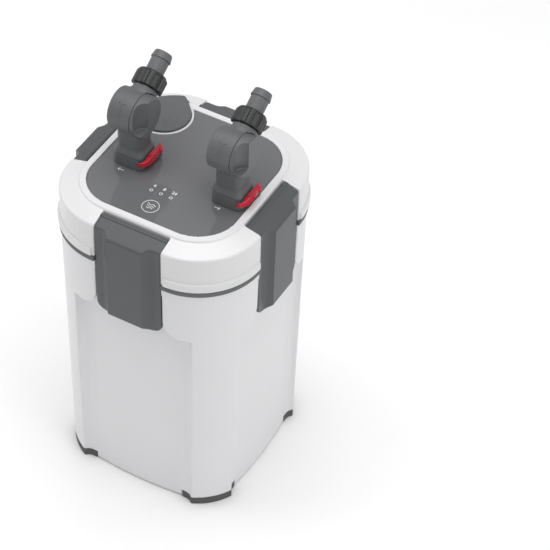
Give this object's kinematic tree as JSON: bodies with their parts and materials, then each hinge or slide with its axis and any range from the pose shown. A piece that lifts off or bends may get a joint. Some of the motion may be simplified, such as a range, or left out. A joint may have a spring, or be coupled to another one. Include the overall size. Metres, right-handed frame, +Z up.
{
  "type": "canister filter",
  "caption": "Square external aquarium canister filter: white bucket on corner feet, clamped motor head with side latches, priming button and angled hose valves.",
  "frame": {"origin": "on the floor, under the middle of the bucket", "axes": "+Z up, -Y towards the front latch and the touch switch, +X towards the outlet valve"},
  "size_m": [0.2386, 0.2386, 0.4881],
  "materials": {
    "white_plastic": "satin white moulded plastic",
    "grey_plastic": "fine-grained mid grey moulded plastic",
    "panel_gloss": "glossy mid grey plastic",
    "dark_plastic": "dark grey moulded plastic",
    "black_plastic": "near black moulded plastic",
    "rubber": "matt dark grey rubber",
    "red_plastic": "red moulded plastic",
    "steel": "stainless steel",
    "circuit_board": "green solder mask",
    "basket_plastic": "dark grey moulded plastic",
    "sponge": "open-cell blue foam",
    "ceramic": "rough fired ceramic",
    "filter_wool": "white filter wool",
    "lamp_glass": "clear quartz glass",
    "lamp_tube": "frosted lamp tube"
  },
  "bodies": {
    "root": {"canister_body": "white_plastic", "lid_shell": "white_plastic", "lid_gasket": "rubber", "shaft_bush_upper": "rubber", "shaft_bush_lower": "rubber", "foot_back_right": "rubber", "foot_back_left": "rubber", "foot_front_left": "rubber", "foot_front_right": "rubber", "media_basket_lower": "basket_plastic", "media_basket_middle": "basket_plastic", "media_basket_upper": "basket_plastic", "intake_pipe": "basket_plastic", "pump_cover": "basket_plastic", "coarse_sponge": "sponge", "ceramic_media": "ceramic", "impeller_shaft": "ceramic", "fine_filter_pad": "filter_wool", "top_panel": "panel_gloss", "lid_base": "dark_plastic", "cord_gland": "dark_plastic", "priming_cylinder": "dark_plastic", "motor_housing": "dark_plastic", "control_board": "circuit_board", "priming_spring": "steel", "base_screw_front": "steel", "base_screw_right": "steel", "base_screw_back": "steel", "base_screw_left": "steel", "latch_pin_front": "steel", "latch_pin_right": "steel", "latch_pin_back": "steel", "latch_pin_left": "steel", "lamp_sleeve": "lamp_glass", "clarifier_lamp": "lamp_tube", "inlet_socket": "grey_plastic", "outlet_socket": "grey_plastic"},
    "latch_front": {"latch_front": "grey_plastic"},
    "latch_right": {"latch_right": "grey_plastic"},
    "latch_back": {"latch_back": "grey_plastic"},
    "latch_left": {"latch_left": "grey_plastic"},
    "priming": {"priming_button": "grey_plastic", "priming_piston": "dark_plastic"},
    "impeller": {"impeller": "grey_plastic", "rotor_magnet": "dark_plastic"},
    "inlet_lever": {"inlet_lock_lever": "red_plastic"},
    "inlet_valve": {"inlet_valve_body": "grey_plastic", "inlet_spigot_seal": "rubber", "inlet_hose_tail": "grey_plastic"},
    "inlet_tap": {"inlet_tap_rotor": "dark_plastic", "inlet_tap_knob": "grey_plastic"},
    "inlet_nut": {"inlet_union_nut": "black_plastic"},
    "outlet_lever": {"outlet_lock_lever": "red_plastic"},
    "outlet_valve": {"outlet_valve_body": "grey_plastic", "outlet_spigot_seal": "rubber", "outlet_hose_tail": "grey_plastic"},
    "outlet_tap": {"outlet_tap_rotor": "dark_plastic", "outlet_tap_knob": "grey_plastic"},
    "outlet_nut": {"outlet_union_nut": "black_plastic"}
  },
  "joints": [
    {"name": "latch_front_hinge", "type": "hinge", "parent": "root", "child": "latch_front", "pos_m": [0, -0.0972, 0.3774], "axis": [-1, 0, 0], "range_deg": [0, 90]},
    {"name": "latch_right_hinge", "type": "hinge", "parent": "root", "child": "latch_right", "pos_m": [0.0972, 0, 0.3774], "axis": [0, -1, 0], "range_deg": [0, 90]},
    {"name": "latch_back_hinge", "type": "hinge", "parent": "root", "child": "latch_back", "pos_m": [0, 0.0972, 0.3774], "axis": [1, 0, 0], "range_deg": [0, 90]},
    {"name": "latch_left_hinge", "type": "hinge", "parent": "root", "child": "latch_left", "pos_m": [-0.0972, 0, 0.3774], "axis": [0, 1, 0], "range_deg": [0, 90]},
    {"name": "priming_press", "type": "slide", "parent": "root", "child": "priming", "axis": [0, 0, -1], "range_m": [0, 0.0075], "stiffness_N_per_m": 400, "springref_m": -0.004, "deforming": ["priming_spring"]},
    {"name": "impeller_spin", "type": "hinge", "parent": "root", "child": "impeller", "pos_m": [0.038, 0.038, 0.34], "axis": [0, 0, 1], "continuous": true},
    {"name": "inlet_lever_swing", "type": "hinge", "parent": "root", "child": "inlet_lever", "pos_m": [-0.0319, 0.0025, 0.3946], "axis": [0, 0, 1], "range_deg": [0, 20]},
    {"name": "inlet_valve_lift", "type": "slide", "parent": "root", "child": "inlet_valve", "axis": [0, 0, 1], "range_m": [0, 0.036]},
    {"name": "inlet_tap_turn", "type": "hinge", "parent": "inlet_valve", "child": "inlet_tap", "pos_m": [-0.0525, -0.012, 0.4455], "axis": [1, 0, 0], "range_deg": [0, 90]},
    {"name": "inlet_nut_turn", "type": "hinge", "parent": "inlet_valve", "child": "inlet_nut", "pos_m": [-0.0525, 0.01918, 0.4635], "axis": [0, 0.866, 0.5], "continuous": true},
    {"name": "outlet_lever_swing", "type": "hinge", "parent": "root", "child": "outlet_lever", "pos_m": [0.0841, 0.0025, 0.3946], "axis": [0, 0, 1], "range_deg": [0, 20]},
    {"name": "outlet_valve_lift", "type": "slide", "parent": "root", "child": "outlet_valve", "axis": [0, 0, 1], "range_m": [0, 0.036]},
    {"name": "outlet_tap_turn", "type": "hinge", "parent": "outlet_valve", "child": "outlet_tap", "pos_m": [0.0635, -0.012, 0.4455], "axis": [1, 0, 0], "range_deg": [0, 90]},
    {"name": "outlet_nut_turn", "type": "hinge", "parent": "outlet_valve", "child": "outlet_nut", "pos_m": [0.0635, 0.01918, 0.4635], "axis": [0, 0.866, 0.5], "continuous": true}
  ]
}
